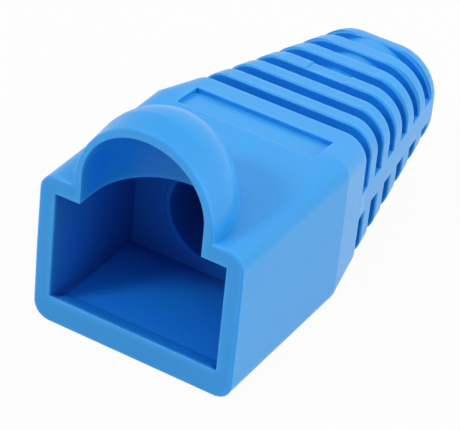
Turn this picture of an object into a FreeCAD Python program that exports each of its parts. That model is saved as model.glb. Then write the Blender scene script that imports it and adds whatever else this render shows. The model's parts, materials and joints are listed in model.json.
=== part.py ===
import FreeCAD, Part
import math
import os

# Strain relief boot for an eight-way modular data plug, moulded in one piece of soft plastic.
# The box at the front slips over the back of the plug, the hood on top shelters the plug's
# latch, and the slotted tail bends with the cable.
#
# Everything is built with the mouth in the plane Y = 0, the tail towards +Y, the flat
# underside at Z = 0 and X = 0 as the plane of symmetry.  The finished solid is shifted at the
# end so that the origin lies under the middle of its length.

# ---- driving dimensions, in millimetres and degrees -----------------------------------------

plug_width = 11.68             # the plug that the socket takes
plug_clearance = 0.16          # between plug and socket at the mouth, over the whole width

wall_side = 1.12               # side walls of the box at the mouth
wall_floor = 1.38              # below the plug
wall_top = 1.15                # above the plug, beside the hood
socket_height = 7.93
socket_depth = 8.45
socket_side_taper = 0.42       # how far each side wall closes in over the socket's depth
lip_height = 0.51              # ridge across the floor just inside the mouth
lip_length = 1.41

box_length = 12.2              # from the mouth to where the tail starts to taper
tail_length = 17.6
shoulder_inset = 0.58          # how far each side draws in from the box to the first slot,
first_rib_inset = 0.25         # and then from there to the first rib
tail_end_width = 8.6
tail_end_drop_top = 1.81       # how far the tail's end lies inside the box above
tail_end_drop_bottom = 1.77    # and below
corner_radius_box = 1.15
corner_radius_end_top = 3.6
corner_radius_end_bottom = 2.8
corner_share = 0.95            # the most of a side wall's height that a corner may take up
tail_end_rounding = 1.35
mouth_edge_bevel = 0.08
parting_draft = 0.4            # the side walls lean in by this angle above and below mid height

hood_half_width = 4.8          # hood over the latch, outside
hood_wall = 0.61
hood_crown = 5.5               # height of the hood over the box, at the mouth
hood_rise = 0.4                # the hood climbs by this much towards its rounded back
hood_straight = 1.6            # length of the arch before its rounded back begins
hood_inner_spring = 0.78       # the inner arch springs this much higher than the outer one

bore_radius_socket = 3.2       # cable bore where it leaves the socket
bore_radius_end = 2.7          # cable bore at the tail's end
bore_land = 6.0                # straight stretch of the bore that holds the cable
bore_rim_bevel = 0.35
tube_wall = 0.87               # tube round the bore that the slots leave standing

slot_count = 6
slot_first = 15.52             # front face of the first slot
slot_pitch = 2.295
slot_width = 1.15
first_slot_side_depth = 0.5    # the first slot above stays this shallow down the sides
spine_height = 1.75            # unslotted strip along each side
rib_edge_bevel = 0.1           # on the edge of each rib that faces the mouth

recess_width = 9.75            # shallow panel on top
recess_length = 2.4
recess_start = 11.45
recess_depth = 0.3
flat_width = 2.85              # shallow flat across the middle of the rib behind one slot
flat_depth = 0.07
flat_slot = 3

# ---- derived sizes --------------------------------------------------------------------------

socket_width = plug_width + plug_clearance
body_width = socket_width + 2.0 * wall_side
body_height = wall_floor + socket_height + wall_top
body_length = box_length + tail_length
parting_z = body_height / 2.0
ceiling_z = wall_floor + socket_height
shoulder_width = body_width - 2.0 * shoulder_inset
first_rib_width = shoulder_width - 2.0 * first_rib_inset
first_rib = slot_first + slot_width
tube_radius = bore_radius_end + tube_wall
spine_top = parting_z + spine_height / 2.0
spine_bottom = parting_z - spine_height / 2.0
draft_slope = math.tan(math.radians(parting_draft))

# Widths of the body along its length: the box, the shoulder, the step down across the first
# slot, and the ribs.
width_stations = [
    (0.0, body_width),
    (box_length, body_width),
    (slot_first, shoulder_width),
    (first_rib, first_rib_width),
    (body_length, tail_end_width),
]


def vec(x, y, z):
    return FreeCAD.Vector(x, y, z)


def between(start, end, share):
    return start + (end - start) * share


def box_between(low, high):
    size = high - low
    return Part.makeBox(size.x, size.y, size.z, low)


# ---- the outline of the body ----------------------------------------------------------------

def rounded_wire(corners):
    """Closed flat wire through (point, radius) corners; a radius of 0 keeps a corner sharp."""
    legs = []
    count = len(corners)
    for index, (point, radius) in enumerate(corners):
        if radius == 0:
            legs.append((point, point, point))
            continue
        before = (corners[index - 1][0] - point).normalize()
        after = (corners[(index + 1) % count][0] - point).normalize()
        half_angle = before.getAngle(after) / 2.0
        setback = radius / math.tan(half_angle)
        bisector = (before + after).normalize()
        middle = point + bisector * (radius / math.sin(half_angle) - radius)
        legs.append((point + before * setback, middle, point + after * setback))
    edges = []
    for index, (start, middle, end) in enumerate(legs):
        if start != end:
            edges.append(Part.Arc(start, middle, end).toShape())
        edges.append(Part.makeLine(end, legs[(index + 1) % count][0]))
    return Part.Wire(edges)


def width_at(y):
    for (start, start_width), (end, end_width) in zip(width_stations, width_stations[1:]):
        if y <= end:
            return between(start_width, end_width, (y - start) / (end - start))
    return tail_end_width


def body_section(y, inset=0.0):
    """Outline of the body at a distance from the mouth, widest at the parting line."""
    share = max(0.0, (y - box_length) / tail_length)
    high = body_height - tail_end_drop_top * share - inset
    low = tail_end_drop_bottom * share + inset
    half_width = width_at(y) / 2.0 - inset
    edge_above = half_width - (high - parting_z) * draft_slope
    edge_below = half_width - (parting_z - low) * draft_slope
    radius_above = between(corner_radius_box, corner_radius_end_top, share) - inset
    radius_below = between(corner_radius_box, corner_radius_end_bottom, share) - inset
    radius_above = min(radius_above, corner_share * (high - parting_z))
    radius_below = min(radius_below, corner_share * (parting_z - low))
    return rounded_wire([
        (vec(edge_above, y, high), radius_above),
        (vec(half_width, y, parting_z), 0),
        (vec(edge_below, y, low), radius_below),
        (vec(-edge_below, y, low), radius_below),
        (vec(-half_width, y, parting_z), 0),
        (vec(-edge_above, y, high), radius_above),
    ])


def edges_in_plane(shape, y):
    """Edges that lie wholly in the plane at this distance from the mouth."""
    slack = 1e-4
    found = []
    for edge in shape.Edges:
        box = edge.BoundBox
        if abs(box.YMin - y) < slack and abs(box.YMax - y) < slack:
            found.append(edge)
    return found


def tapered_body():
    """One length between each two stations, with the mouth bevelled and the end rounded."""
    sections = [body_section(0.0, mouth_edge_bevel), body_section(mouth_edge_bevel)]
    sections += [body_section(y) for y, width in width_stations[1:]]
    lengths = [Part.makeLoft([start, end], True, True)
               for start, end in zip(sections, sections[1:])]
    lengths[-1] = lengths[-1].makeFillet(tail_end_rounding, edges_in_plane(lengths[-1], body_length))
    return lengths[0].fuse(lengths[1:])


# ---- the hood -------------------------------------------------------------------------------

def arch_quarter(half_width, spring_z, crown_z, foot_z, y):
    """Right half of the hood's profile: a quarter ellipse standing on a straight leg."""
    centre = vec(0, y, spring_z)
    crown = vec(0, y, crown_z)
    spring = vec(half_width, y, spring_z)
    foot = vec(half_width, y, foot_z)
    middle_foot = vec(0, y, foot_z)
    if crown_z - spring_z > half_width:
        ellipse = Part.Ellipse(crown, spring, centre)
    else:
        ellipse = Part.Ellipse(spring, crown, centre)
    ends = sorted([ellipse.parameter(spring), ellipse.parameter(crown)])
    if ends[1] - ends[0] > math.pi:
        ends = [ends[1], ends[0] + 2.0 * math.pi]
    return Part.Wire(Part.__sortEdges__([
        Part.ArcOfEllipse(ellipse, ends[0], ends[1]).toShape(),
        Part.makeLine(spring, foot),
        Part.makeLine(foot, middle_foot),
        Part.makeLine(middle_foot, crown),
    ]))


def arched_hood(half_width, spring_z, crown_z, foot_z, mouth_bevel=0.0):
    """An arch that climbs back from the mouth and is closed by half a dome."""
    profiles = []
    for y in sorted({0.0, mouth_bevel, hood_straight}):
        inset = max(0.0, mouth_bevel - y)
        top = crown_z + hood_rise * y / hood_straight - inset
        profiles.append(arch_quarter(half_width - inset, spring_z, top, foot_z, y))
    right = [Part.makeLoft([start, end], True, True) for start, end in zip(profiles, profiles[1:])]
    left = [piece.mirror(vec(0, 0, 0), vec(1, 0, 0)) for piece in right]
    dome = Part.Face(profiles[-1]).revolve(vec(0, hood_straight, 0), vec(0, 0, 1), 180)
    return dome.fuse(right + left)


def hood_outside():
    return arched_hood(hood_half_width, body_height, body_height + hood_crown, ceiling_z,
                       mouth_edge_bevel)


def hood_space():
    return arched_hood(hood_half_width - hood_wall, body_height + hood_inner_spring,
                       body_height + hood_crown - hood_wall, parting_z)


# ---- what is cut away -----------------------------------------------------------------------

def socket_outline(y, half_width):
    return rounded_wire([
        (vec(half_width, y, ceiling_z), 0),
        (vec(half_width, y, wall_floor), 0),
        (vec(-half_width, y, wall_floor), 0),
        (vec(-half_width, y, ceiling_z), 0),
    ])


def socket():
    """Room for the plug: its sides close in, and a low lip crosses its floor at the mouth."""
    half_width = socket_width / 2.0
    room = Part.makeLoft([socket_outline(0.0, half_width),
                          socket_outline(socket_depth, half_width - socket_side_taper)], True, True)
    lip = rounded_wire([
        (vec(-body_width, 0, wall_floor), 0),
        (vec(-body_width, 0, wall_floor + lip_height), 0),
        (vec(-body_width, lip_length, wall_floor), 0),
    ])
    return room.cut(Part.Face(lip).extrude(vec(2.0 * body_width, 0, 0)))


def cable_bore():
    """A bevelled rim, a funnel, and a straight land that holds the cable at the tail's end."""
    along = vec(0, 1, 0)
    funnel_start = socket_depth + bore_rim_bevel
    land_start = body_length - bore_land
    rim = Part.makeCone(bore_radius_socket + bore_rim_bevel, bore_radius_socket, bore_rim_bevel,
                        vec(0, socket_depth, parting_z), along)
    funnel = Part.makeCone(bore_radius_socket, bore_radius_end, land_start - funnel_start,
                           vec(0, funnel_start, parting_z), along)
    land = Part.makeCylinder(bore_radius_end, bore_land, vec(0, land_start, parting_z), along)
    return funnel.fuse([rim, land])


def rib_nose(y):
    """The body's outline as it grows out from the bevelled front edge of a rib."""
    margin = rib_edge_bevel / 2.0
    return Part.makeLoft([body_section(y, rib_edge_bevel),
                          body_section(y + rib_edge_bevel + margin, -margin)], True, True)


def slots():
    """Slots over the top and under the bottom, as deep as the tube and short of the spines."""
    reach = body_width
    tube = Part.makeCylinder(tube_radius, body_length, vec(0, 0, parting_z), vec(0, 1, 0))
    spine = box_between(vec(-reach, 0, spine_bottom), vec(reach, body_length, spine_top))
    core = tube.fuse(spine)
    shallow = first_rib_width / 2.0 - first_slot_side_depth
    flanks = box_between(vec(-shallow, 0, parting_z),
                         vec(shallow, body_length, parting_z + tube_radius / 2.0))
    cutters = []
    for index in range(slot_count):
        front = slot_first + index * slot_pitch
        back = front + slot_width
        nose = rib_nose(back)
        slot = box_between(vec(-reach, front, -reach), vec(reach, nose.BoundBox.YMax, reach))
        keep = [nose, core]
        if index == 0:
            keep.append(flanks)
        cutters.append(slot.cut(keep))
    return cutters


def sunk_panel(start, length, width, depth):
    """What a shallow panel takes away; its floor follows the slope of the tail's top."""
    slope = math.degrees(math.atan(tail_end_drop_top / tail_length))
    panel = box_between(vec(-width / 2.0, start - box_length, -depth),
                        vec(width / 2.0, start - box_length + length, depth))
    panel.rotate(vec(0, 0, 0), vec(1, 0, 0), -slope)
    panel.translate(vec(0, box_length, body_height))
    return panel


def recess():
    return sunk_panel(recess_start, recess_length, recess_width, recess_depth)


def rib_flat():
    """The flat reaches from the middle of its slot to the middle of the next one."""
    middle = slot_first + (flat_slot - 1) * slot_pitch + slot_width / 2.0
    return sunk_panel(middle, slot_pitch, flat_width, flat_depth)


# ---- the boot -------------------------------------------------------------------------------

def make_boot():
    outside = tapered_body().fuse(hood_outside()).removeSplitter()
    boot = outside.cut([socket(), hood_space(), cable_bore(), recess(), rib_flat()] + slots())
    boot = boot.removeSplitter()
    boot.translate(vec(0, -body_length / 2.0, 0))
    return boot


def main():
    os.makedirs("parts", exist_ok=True)
    boot = make_boot()
    box = boot.BoundBox
    print("valid", boot.isValid(), "solids", len(boot.Solids), "volume", round(boot.Volume, 1))
    print("size", round(box.XLength, 3), round(box.YLength, 3), round(box.ZLength, 3))
    boot.exportStep("parts/boot.step")


main()
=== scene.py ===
import json
import math

import bpy
from mathutils import Matrix, Vector

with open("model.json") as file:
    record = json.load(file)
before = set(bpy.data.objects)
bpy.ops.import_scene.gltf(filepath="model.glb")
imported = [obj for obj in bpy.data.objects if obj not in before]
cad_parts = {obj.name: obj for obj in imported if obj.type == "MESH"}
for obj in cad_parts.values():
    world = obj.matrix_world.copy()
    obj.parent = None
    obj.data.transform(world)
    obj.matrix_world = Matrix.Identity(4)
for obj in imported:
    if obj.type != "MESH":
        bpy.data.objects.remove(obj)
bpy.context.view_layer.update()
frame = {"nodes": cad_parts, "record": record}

# Lengths are metres. The mouth of the boot faces -y, and its tail faces +y.


# ---- camera --------------------------------------------------------------------------------

VIEW_AZIMUTH = math.radians(28.26)      # to the right of straight in front
VIEW_ELEVATION = math.radians(34.64)
VIEW_ROLL = math.radians(5.97)
VIEW_DISTANCE = 0.16813
VIEW_TARGET = Vector((0.0, -0.004165, 0.004499))
LENS_MM = 214.14
SENSOR_WIDTH_MM = 36.0
NEAREST_SEEN = 0.01
FARTHEST_SEEN = 10.0


def add_camera():
    """The photograph's viewing angle, with its slight roll."""
    back = Vector((math.sin(VIEW_AZIMUTH) * math.cos(VIEW_ELEVATION),
                   -math.cos(VIEW_AZIMUTH) * math.cos(VIEW_ELEVATION),
                   math.sin(VIEW_ELEVATION)))
    level_right = Vector((math.cos(VIEW_AZIMUTH), math.sin(VIEW_AZIMUTH), 0.0))
    level_up = back.cross(level_right)
    right = level_right * math.cos(VIEW_ROLL) + level_up * math.sin(VIEW_ROLL)
    up = back.cross(right)
    data = bpy.data.cameras.new("camera")
    data.lens = LENS_MM
    data.sensor_width = SENSOR_WIDTH_MM
    data.clip_start = NEAREST_SEEN
    data.clip_end = FARTHEST_SEEN
    camera = bpy.data.objects.new("camera", data)
    bpy.context.scene.collection.objects.link(camera)
    place = VIEW_TARGET + back * VIEW_DISTANCE
    turn = Matrix((right, up, back)).transposed()
    camera.matrix_world = Matrix.Translation(place) @ turn.to_4x4()
    bpy.context.scene.camera = camera


# ---- node helpers --------------------------------------------------------------------------

WHITE = (1.0, 1.0, 1.0, 1.0)


def new_node(tree, kind, **values):
    """A new node of this kind, with these settings."""
    node = tree.nodes.new(kind)
    for name, value in values.items():
        setattr(node, name, value)
    return node


def calculate(tree, operation, *terms):
    """A math node's output; each term is a number or another node's output."""
    node = new_node(tree, "ShaderNodeMath", operation=operation)
    for socket, term in zip(node.inputs, terms):
        if isinstance(term, (int, float)):
            socket.default_value = term
        else:
            tree.links.new(term, socket)
    return node.outputs[0]


def product(tree, *terms):
    """The terms multiplied; each is a number or another node's output."""
    total = terms[0]
    for term in terms[1:]:
        total = calculate(tree, "MULTIPLY", total, term)
    return total


def rise(tree, value, start, end):
    """0 where the value is at or under the start, 1 at or over the end, even in between."""
    node = new_node(tree, "ShaderNodeMapRange")
    node.inputs["From Min"].default_value = start
    node.inputs["From Max"].default_value = end
    tree.links.new(value, node.inputs["Value"])
    return node.outputs["Result"]


def ramp(tree, value, stops):
    """What the value meets on a ramp of stops, each a position with a grey or a colour."""
    node = new_node(tree, "ShaderNodeValToRGB")
    elements = node.color_ramp.elements
    while len(elements) < len(stops):
        elements.new(0.5)
    for element, (position, colour) in zip(elements, stops):
        element.position = position
        if not isinstance(colour, tuple):
            colour = (colour, colour, colour)
        element.color = (*colour, 1.0)
    tree.links.new(value, node.inputs["Fac"])
    return node.outputs["Color"]


def mix_colour(tree, share, first, second):
    """The first colour, with this share of the second one; each is a colour or an output."""
    node = new_node(tree, "ShaderNodeMix", data_type="RGBA")
    tree.links.new(share, node.inputs["Factor"])
    for name, colour in (("A", first), ("B", second)):
        socket = [entry for entry in node.inputs if entry.name == name and entry.type == "RGBA"][0]
        if isinstance(colour, tuple):
            socket.default_value = (*colour, 1.0)
        else:
            tree.links.new(colour, socket)
    return [entry for entry in node.outputs if entry.type == "RGBA"][0]


def open_share(tree, reach, **values):
    """How much of what is around a point stays clear of the boot, out to this reach."""
    node = new_node(tree, "ShaderNodeAmbientOcclusion", only_local=True, **values)
    node.inputs["Distance"].default_value = reach
    return node.outputs["AO"]


# ---- places in the boot --------------------------------------------------------------------

WALL_MARGIN = 0.0007           # from the clear opening to inside the walls around it
CEILING_MARGIN = 0.00004       # from the clear opening to just past its ceiling or side wall
BORE_SHARE = 0.9               # how much of the depth inside counts near the bore's axis


def named(entries, name):
    """The entry of a list in the record that has this name."""
    return [entry for entry in entries if entry["name"] == name][0]


SOCKET_LOW, SOCKET_HIGH = named(frame["record"]["physics"]["openings"], "plug_socket")["box_m"]
BORE = named(frame["record"]["mounts"], "cable_bore")      # placed at the middle of its land


def in_socket(tree, across, along, up):
    """1 in the socket and just inside its walls, floor and back wall, 0 elsewhere."""
    floor = SOCKET_LOW[2] - WALL_MARGIN
    ceiling = SOCKET_HIGH[2]
    between_sides = calculate(tree, "COMPARE", across, 0.0, SOCKET_HIGH[0] + WALL_MARGIN)
    between_floor_and_ceiling = calculate(tree, "COMPARE", up, (floor + ceiling) / 2.0,
                                          (ceiling - floor) / 2.0 + CEILING_MARGIN)
    in_front = calculate(tree, "LESS_THAN", along, SOCKET_HIGH[1] + WALL_MARGIN)
    return product(tree, between_sides, between_floor_and_ceiling, in_front)


def in_bore(tree, across, along, up):
    """1 near the bore's axis as far back as the middle of its land, 0 elsewhere."""
    above_axis = calculate(tree, "SUBTRACT", up, BORE["pos_m"][2])
    squares = calculate(tree, "ADD", calculate(tree, "POWER", across, 2.0),
                        calculate(tree, "POWER", above_axis, 2.0))
    from_axis = calculate(tree, "SQRT", squares)
    reach = BORE["dims"]["r_mm"] / 1000.0 + WALL_MARGIN
    near_axis = calculate(tree, "LESS_THAN", from_axis, reach)
    before_middle = calculate(tree, "LESS_THAN", along, BORE["pos_m"][1])
    return product(tree, near_axis, before_middle)


def inner_depth(tree, across, along, up):
    """0 outside and at the mouth, 1 at the socket's back wall, less near the bore's axis."""
    bore = in_bore(tree, across, along, up)
    inside = calculate(tree, "MAXIMUM", in_socket(tree, across, along, up), bore)
    lighter = calculate(tree, "SUBTRACT", 1.0, product(tree, bore, 1.0 - BORE_SHARE))
    deep = rise(tree, along, SOCKET_LOW[1], SOCKET_HIGH[1])
    return product(tree, inside, lighter, deep)


# ---- soft blue plastic ---------------------------------------------------------------------

REFRACTION = 1.5
SUBSURFACE_WEIGHT = 0.6
SUBSURFACE_RADIUS = (0.15, 0.6, 1.0)    # red goes the least far in, blue the farthest
SUBSURFACE_SCALE = 0.00025
HOLLOW_REACH = 0.02            # hollows wider than this get no painted shade
HOLLOW_SAMPLES = 16
PAINTED_EDGE_LIGHT_THICKNESS = 0.0005             # plastic thinner than this gets a painted glow of light
PAINTED_EDGE_LIGHT_SAMPLES = 8
EDGE_SOFTNESS = 0.00016        # how far the moulded edges look rounded
EDGE_SOFTNESS_SAMPLES = 8
GRAIN_SCALE = 2500.0
GRAIN_DETAIL = 1.0
GRAIN_STRENGTH = 0.05
GRAIN_HEIGHT = 0.00002

# These ramps go by the open share: 1 on an outside face, less in a hollow.
# The skin colour: the outside stop is the plastic's own blue. Every other stop is painted shade
# and painted light in the hollows: darker in the bore, and a saturated blue on the socket's floor,
# on the ridge behind the mouth and inside the hood.
SKIN_WITH_PAINTED_LIGHT_AND_SHADE = ((0.05, (0.012, 0.16, 0.60)),       # in the bore
        (0.26, (0.012, 0.30, 0.92)),       # the middle of the socket's floor
        (0.34, (0.012, 0.32, 1.0)),        # the ridge behind the mouth
        (0.40, (0.010, 0.29, 1.0)),        # inside the hood
        (0.46, (0.022, 0.35, 0.80)),       # the tops of the last ribs
        (0.8, (0.037, 0.364, 0.835)))      # the outside
SHADE = ((0.1, (0.016, 0.02, 0.17)),       # in the bore
         (0.26, (0.018, 0.055, 0.36)))     # in the socket
# Painted shade in the slots: a deeper blue where the open share is middling, behind the socket.
SLOT_SHADE_SHARE = ((0.15, 0.0), (0.25, 1.0),    # the bore keeps its own colour
              (0.42, 1.0), (0.55, 0.0))    # and so does the outside
SLOT_SHADE_COLOUR = (0.013, 0.285, 0.78)
SHINE = ((0.1, 0.0), (0.42, 0.07),         # hollows have hardly any gloss: painted shade on the reflections
         (0.5, 0.22), (0.8, 0.29))

# This ramp goes by the open share seen from inside the plastic: less where it is thin, and there a
# glow of light is painted on.
PAINTED_EDGE_LIGHT_SHARE = ((0.45, 1.0), (0.90, 0.0))
PAINTED_EDGE_LIGHT_COLOUR = (0.06, 0.43, 1.0)

# These ramps go by the depth inside: how much of the shade the skin takes.
FLOOR_SHADE = ((0.0, 0.0), (0.13, 0.0),    # the ridge behind the mouth stays clear
               (0.17, 0.22), (0.4, 0.14), (0.6, 0.06), (0.85, 0.15), (1.0, 0.55))
SIDE_SHADE = ((0.0, 0.0), (0.04, 0.5), (0.35, 0.55), (1.0, 0.6))

# This ramp goes by the grain.
ROUGHNESS = ((0.3, 0.29), (0.7, 0.33))


def boot_colour(tree, place, openness):
    """Painted shade in slots and hollows and down the socket, and a painted glow of light where
    the plastic is thin.
    """
    split = new_node(tree, "ShaderNodeSeparateXYZ")
    tree.links.new(place, split.inputs[0])
    across, along, up = split.outputs

    # Painted light: a paler glow on thin edges and rims.
    thickness = open_share(tree, PAINTED_EDGE_LIGHT_THICKNESS, samples=PAINTED_EDGE_LIGHT_SAMPLES, inside=True)
    painted_edge_light_share = ramp(tree, thickness, PAINTED_EDGE_LIGHT_SHARE)
    colour = mix_colour(tree, painted_edge_light_share, ramp(tree, openness, SKIN_WITH_PAINTED_LIGHT_AND_SHADE), PAINTED_EDGE_LIGHT_COLOUR)

    # Painted shade: a deeper blue in the slots and other half-open places behind the socket.
    behind_socket = calculate(tree, "GREATER_THAN", along, SOCKET_HIGH[1] + WALL_MARGIN)
    slot_shade_share = product(tree, ramp(tree, openness, SLOT_SHADE_SHARE), behind_socket)
    colour = mix_colour(tree, slot_shade_share, colour, SLOT_SHADE_COLOUR)

    # Painted shade down the socket, by depth, and more on its side walls.
    depth = inner_depth(tree, across, along, up)
    on_side_wall = rise(tree, calculate(tree, "ABSOLUTE", across),
                        SOCKET_HIGH[0] - CEILING_MARGIN, SOCKET_HIGH[0] + CEILING_MARGIN)
    shade_share = mix_colour(tree, on_side_wall, ramp(tree, depth, FLOOR_SHADE),
                             ramp(tree, depth, SIDE_SHADE))
    return mix_colour(tree, shade_share, colour, ramp(tree, openness, SHADE))


def add_grain(tree, shader, place):
    """A fine moulded grain in gloss and bump, over softened edges."""
    grain = new_node(tree, "ShaderNodeTexNoise")
    grain.inputs["Scale"].default_value = GRAIN_SCALE
    grain.inputs["Detail"].default_value = GRAIN_DETAIL
    tree.links.new(place, grain.inputs["Vector"])
    tree.links.new(ramp(tree, grain.outputs["Fac"], ROUGHNESS), shader.inputs["Roughness"])

    edges = new_node(tree, "ShaderNodeBevel", samples=EDGE_SOFTNESS_SAMPLES)
    edges.inputs["Radius"].default_value = EDGE_SOFTNESS
    bump = new_node(tree, "ShaderNodeBump")
    bump.inputs["Strength"].default_value = GRAIN_STRENGTH
    bump.inputs["Distance"].default_value = GRAIN_HEIGHT
    tree.links.new(grain.outputs["Fac"], bump.inputs["Height"])
    tree.links.new(edges.outputs["Normal"], bump.inputs["Normal"])
    tree.links.new(bump.outputs["Normal"], shader.inputs["Normal"])


def boot_material():
    """Satin blue plastic that lets a little light in under its skin."""
    material = bpy.data.materials.new("soft_blue_plastic")
    material.use_nodes = True
    tree = material.node_tree
    shader = tree.nodes["Principled BSDF"]
    shader.inputs["IOR"].default_value = REFRACTION
    shader.inputs["Subsurface Weight"].default_value = SUBSURFACE_WEIGHT
    shader.inputs["Subsurface Radius"].default_value = SUBSURFACE_RADIUS
    shader.inputs["Subsurface Scale"].default_value = SUBSURFACE_SCALE

    place = new_node(tree, "ShaderNodeTexCoord").outputs["Object"]
    openness = open_share(tree, HOLLOW_REACH, samples=HOLLOW_SAMPLES)
    tree.links.new(boot_colour(tree, place, openness), shader.inputs["Base Color"])
    tree.links.new(ramp(tree, openness, SHINE), shader.inputs["Specular IOR Level"])
    add_grain(tree, shader, place)
    return material


# ---- floor and light -----------------------------------------------------------------------

FLOOR_SIZE = 2.0
FLOOR_GAP = 0.00002            # keeps the floor clear of the underside
FLOOR_COLOUR = (0.66, 0.66, 0.66, 1.0)
FLOOR_ROUGHNESS = 0.9
FLOOR_WHITENESS = 0.95         # the rest of what the eye sees there is the lit floor

# The light of the room: soft patches of white, each with its direction and level.
PATCH_FOCUS = 3.0              # the higher, the narrower each patch
LIGHT_PATCHES = (((1.0, 1.0, 0.2), 0.96),      # low behind, on the right
                 ((1.0, -1.0, 0.2), 0.35),     # low in front, on the right
                 ((-1.0, -1.0, 0.2), 0.65),    # low in front, on the left
                 ((0.0, 1.0, 1.0), 0.25),      # high behind
                 ((1.0, 0.3, 1.0), 1.32),      # high on the right
                 ((-1.0, 0.3, 1.0), 0.7))      # high on the left

KEY_STRENGTH = 0.95
KEY_WIDTH = math.radians(14.0)
KEY_ELEVATION = math.radians(40.0)
KEY_RIGHTWARDS = 0.58          # its way over the floor, into the socket
KEY_BACKWARDS = 0.81


def backdrop_rays(tree):
    """1 for the rays of the eye, of gloss and of glass, 0 for those that light the boot."""
    rays = new_node(tree, "ShaderNodeLightPath")
    total = rays.outputs["Is Camera Ray"]
    for kind in ("Is Glossy Ray", "Is Transmission Ray"):
        total = calculate(tree, "MAXIMUM", total, rays.outputs[kind])
    return total


def mix_shaders(tree, share, first, second, end):
    """Sends the end of the tree the first shader, with this share of the second one."""
    mix = new_node(tree, "ShaderNodeMixShader")
    tree.links.new(share, mix.inputs[0])
    tree.links.new(first.outputs[0], mix.inputs[1])
    tree.links.new(second.outputs[0], mix.inputs[2])
    tree.links.new(mix.outputs[0], tree.nodes[end].inputs["Surface"])


def add_floor():
    """A floor that looks nearly white, and still shows the boot's soft shadow."""
    bpy.ops.mesh.primitive_plane_add(size=FLOOR_SIZE, location=(0.0, 0.0, -FLOOR_GAP))
    floor = bpy.context.object
    floor.name = "floor"
    material = bpy.data.materials.new("white_floor")
    material.use_nodes = True
    tree = material.node_tree
    lit = tree.nodes["Principled BSDF"]
    lit.inputs["Base Color"].default_value = FLOOR_COLOUR
    lit.inputs["Roughness"].default_value = FLOOR_ROUGHNESS
    lit.inputs["Specular IOR Level"].default_value = 0.0
    white = new_node(tree, "ShaderNodeEmission")
    white.inputs["Color"].default_value = WHITE
    share = product(tree, backdrop_rays(tree), FLOOR_WHITENESS)
    mix_shaders(tree, share, lit, white, "Material Output")
    floor.data.materials.append(material)


def set_world():
    """White where it is seen; the light itself comes from the patches."""
    world = bpy.data.worlds.new("studio")
    bpy.context.scene.world = world
    world.use_nodes = True
    tree = world.node_tree
    direction = new_node(tree, "ShaderNodeTexCoord").outputs["Generated"]
    total = 0.0
    for towards, level in LIGHT_PATCHES:
        facing = new_node(tree, "ShaderNodeVectorMath", operation="DOT_PRODUCT")
        facing.inputs[1].default_value = Vector(towards).normalized()
        tree.links.new(direction, facing.inputs[0])
        seen = calculate(tree, "MAXIMUM", facing.outputs["Value"], 0.0)
        patch = product(tree, calculate(tree, "POWER", seen, PATCH_FOCUS), level)
        total = calculate(tree, "ADD", patch, total)
    light = tree.nodes["Background"]
    light.inputs["Color"].default_value = WHITE
    tree.links.new(total, light.inputs["Strength"])
    white = new_node(tree, "ShaderNodeBackground")
    white.inputs["Color"].default_value = WHITE
    mix_shaders(tree, backdrop_rays(tree), light, white, "World Output")


def add_key_light():
    """A soft lamp in front and to the left, which looks into the socket."""
    data = bpy.data.lights.new("key", "SUN")
    data.energy = KEY_STRENGTH
    data.angle = KEY_WIDTH
    lamp = bpy.data.objects.new("key", data)
    bpy.context.scene.collection.objects.link(lamp)
    towards = Vector((KEY_RIGHTWARDS * math.cos(KEY_ELEVATION),
                      KEY_BACKWARDS * math.cos(KEY_ELEVATION),
                      -math.sin(KEY_ELEVATION)))
    lamp.rotation_euler = towards.to_track_quat("-Z", "Y").to_euler()


# ---- scene ---------------------------------------------------------------------------------

bpy.context.scene.view_settings.view_transform = "Standard"
boot = frame["nodes"]["boot"]
boot.data.materials.clear()
boot.data.materials.append(boot_material())
add_floor()
set_world()
add_key_light()
add_camera()
